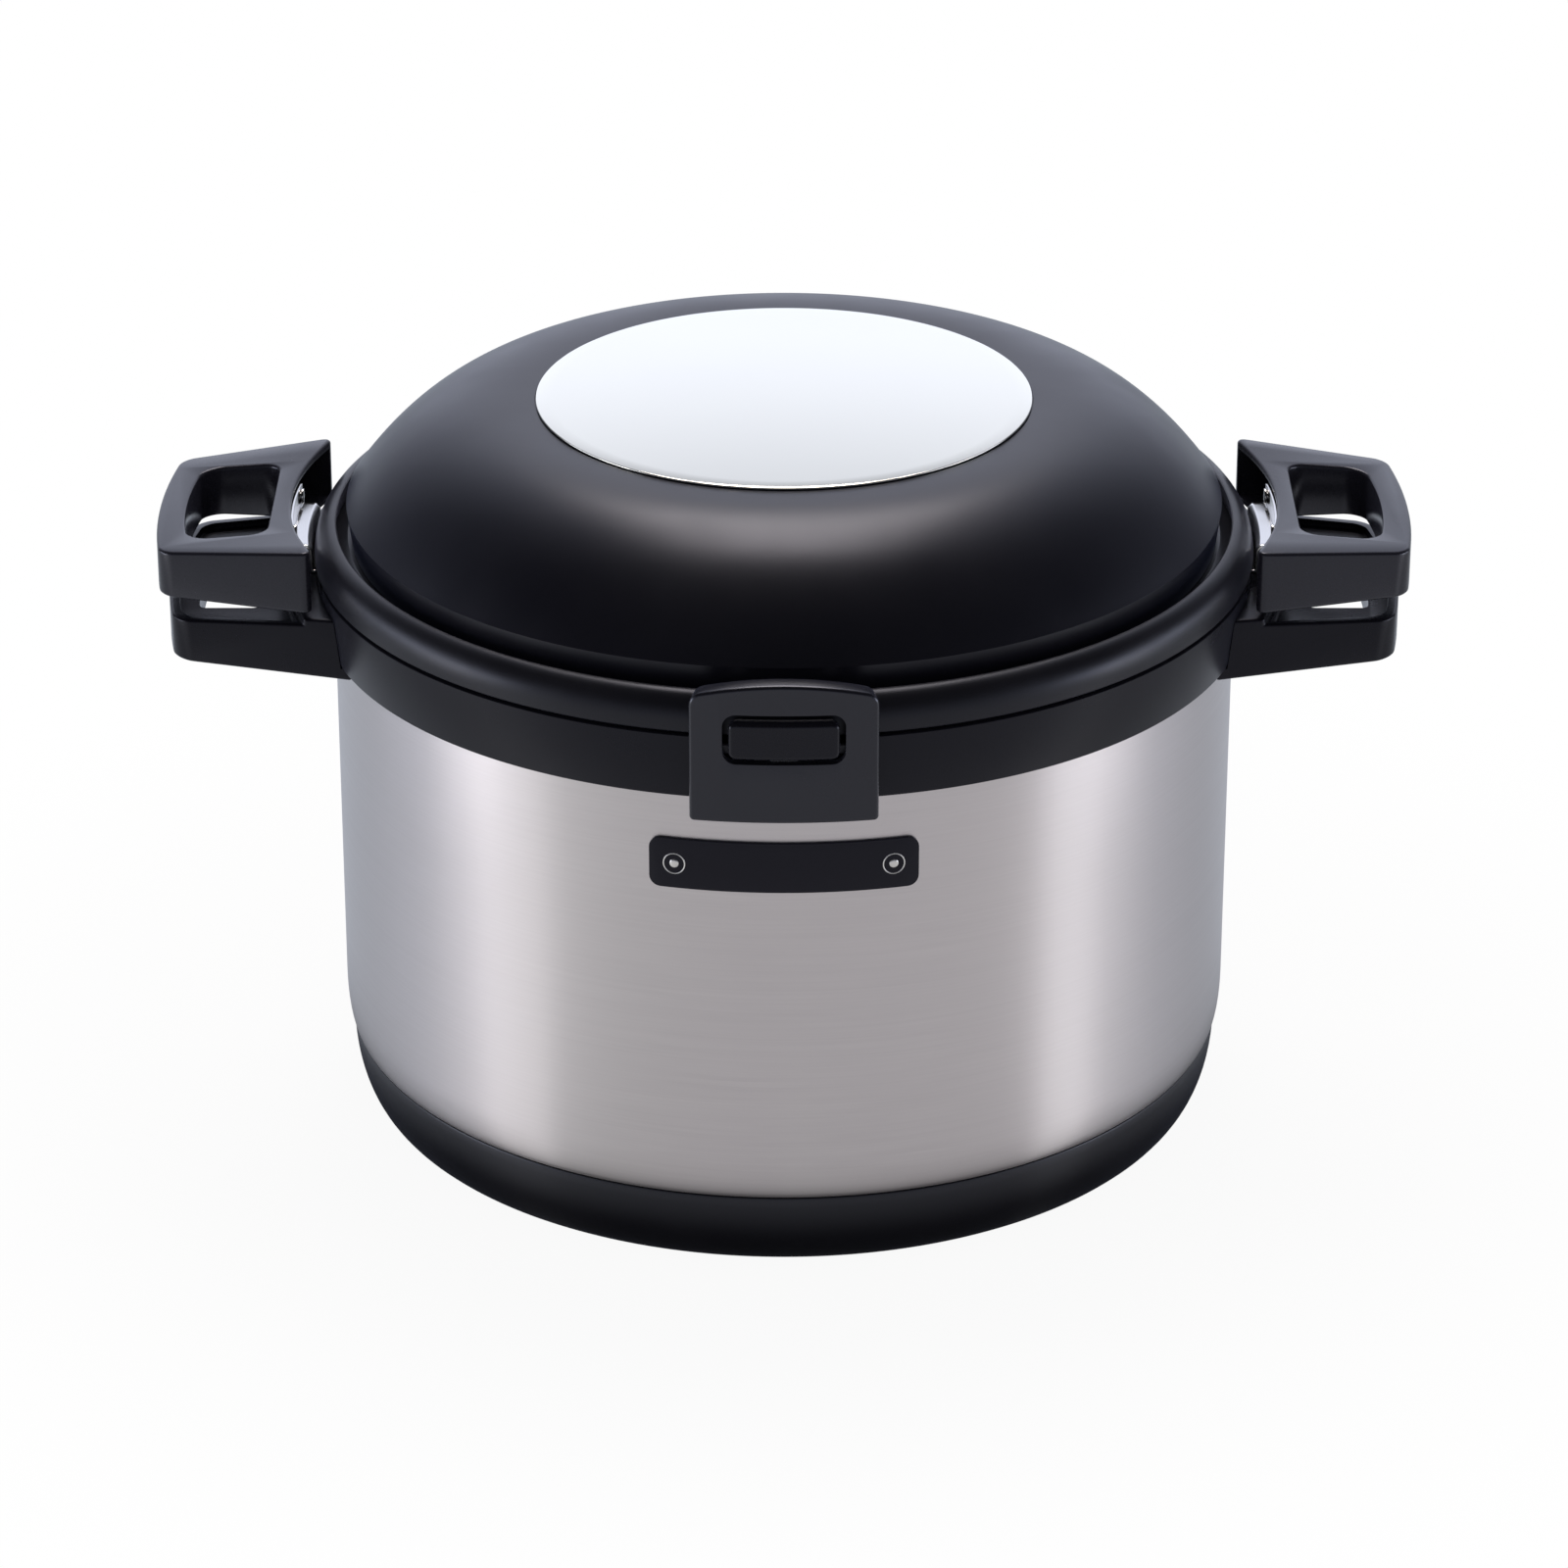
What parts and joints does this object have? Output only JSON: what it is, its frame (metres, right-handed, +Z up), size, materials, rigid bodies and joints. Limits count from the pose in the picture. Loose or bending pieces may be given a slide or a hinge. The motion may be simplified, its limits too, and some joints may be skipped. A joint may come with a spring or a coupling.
{
  "type": "thermal cooker",
  "caption": "Vacuum-walled thermal cooker with a hinged domed lid, push-button latch and carry handles, holding a handled cooking pot with its own lid.",
  "frame": {"origin": "on the vessel's axis, in the plane of the foot ring's underside that the cooker stands on", "axes": "+Z up, -Y towards the latch and release button, +Y towards the hinge, the handles at -X and +X"},
  "size_m": [0.3864, 0.3066, 0.2348],
  "materials": {
    "brushed_shell": "circumferentially brushed",
    "plain_steel": "satin, pressed sheet",
    "polished_steel": "polished",
    "mirror_disc": "mirror polished",
    "satin_black_plastic": "satin moulded",
    "dome_paint": "satin blue-black paint",
    "badge_face": "satin",
    "foot_rubber": "matt",
    "seal_silicone": "matt",
    "foam": "matt",
    "capsule_base": "satin"
  },
  "bodies": {
    "vessel": {"outer_shell": "brushed_shell", "inner_liner": "plain_steel", "vacuum_seal_cap": "plain_steel", "base_cup": "satin_black_plastic", "foot_ring": "foot_rubber", "collar_ring": "satin_black_plastic", "carry_handle_left": "satin_black_plastic", "carry_handle_right": "satin_black_plastic", "carry_handle_screw_1": "polished_steel", "carry_handle_screw_2": "polished_steel", "carry_handle_screw_3": "polished_steel", "carry_handle_screw_4": "polished_steel", "badge_plate": "badge_face", "badge_stud_1": "polished_steel", "badge_stud_2": "polished_steel", "latch_housing": "satin_black_plastic", "hook_pin": "polished_steel", "hook_spring": "polished_steel", "hinge_base": "satin_black_plastic", "hinge_base_screw_1": "polished_steel", "hinge_base_screw_2": "polished_steel", "hinge_pin": "polished_steel"},
    "release_button": {"release_button": "satin_black_plastic"},
    "latch_hook": {"latch_hook": "polished_steel"},
    "outer_lid": {"lid_dome": "dome_paint", "lid_trim_ring": "satin_black_plastic", "lid_mirror_disc": "mirror_disc", "lid_insulation": "foam", "lid_liner": "plain_steel", "lid_gasket": "seal_silicone", "lid_hinge_arm": "satin_black_plastic", "hinge_arm_screw_1": "polished_steel", "hinge_arm_screw_2": "polished_steel", "lid_screw_1": "polished_steel", "lid_screw_2": "polished_steel", "lid_screw_3": "polished_steel", "lid_screw_4": "polished_steel", "lid_striker": "polished_steel"},
    "inner_pot": {"pot_shell": "plain_steel", "pot_base_disc": "capsule_base", "pot_bracket_left": "polished_steel", "pot_bracket_right": "polished_steel", "pot_handle_left": "satin_black_plastic", "pot_handle_right": "satin_black_plastic", "pot_handle_screw_1": "polished_steel", "pot_handle_screw_2": "polished_steel", "pot_handle_screw_3": "polished_steel", "pot_handle_screw_4": "polished_steel"},
    "pot_lid": {"pot_lid_plate": "plain_steel", "pot_lid_knob": "satin_black_plastic", "knob_screw": "polished_steel"}
  },
  "joints": [
    {"name": "lid_hinge", "type": "hinge", "parent": "vessel", "child": "outer_lid", "pos_m": [0, 0.149, 0.176], "axis": [-1, 0, 0], "range_deg": [0, 95]},
    {"name": "button_press", "type": "slide", "parent": "vessel", "child": "release_button", "axis": [0, 1, 0], "range_m": [0, 0.0025], "stiffness_N_per_m": 800, "springref_m": -0.002},
    {"name": "hook_pivot", "type": "hinge", "parent": "vessel", "child": "latch_hook", "pos_m": [0, -0.1439, 0.169], "axis": [-1, 0, 0], "range_deg": [0, 15]},
    {"name": "pot_seat", "type": "slide", "parent": "vessel", "child": "inner_pot", "axis": [0, 0, 1], "range_m": [0, 0.001]},
    {"name": "pot_lid_seat", "type": "slide", "parent": "inner_pot", "child": "pot_lid", "axis": [0, 0, 1], "range_m": [0, 0.001]}
  ],
  "couplings": [
    {"joint": "hook_pivot", "follows": "button_press", "rad_per_m": 100}
  ]
}
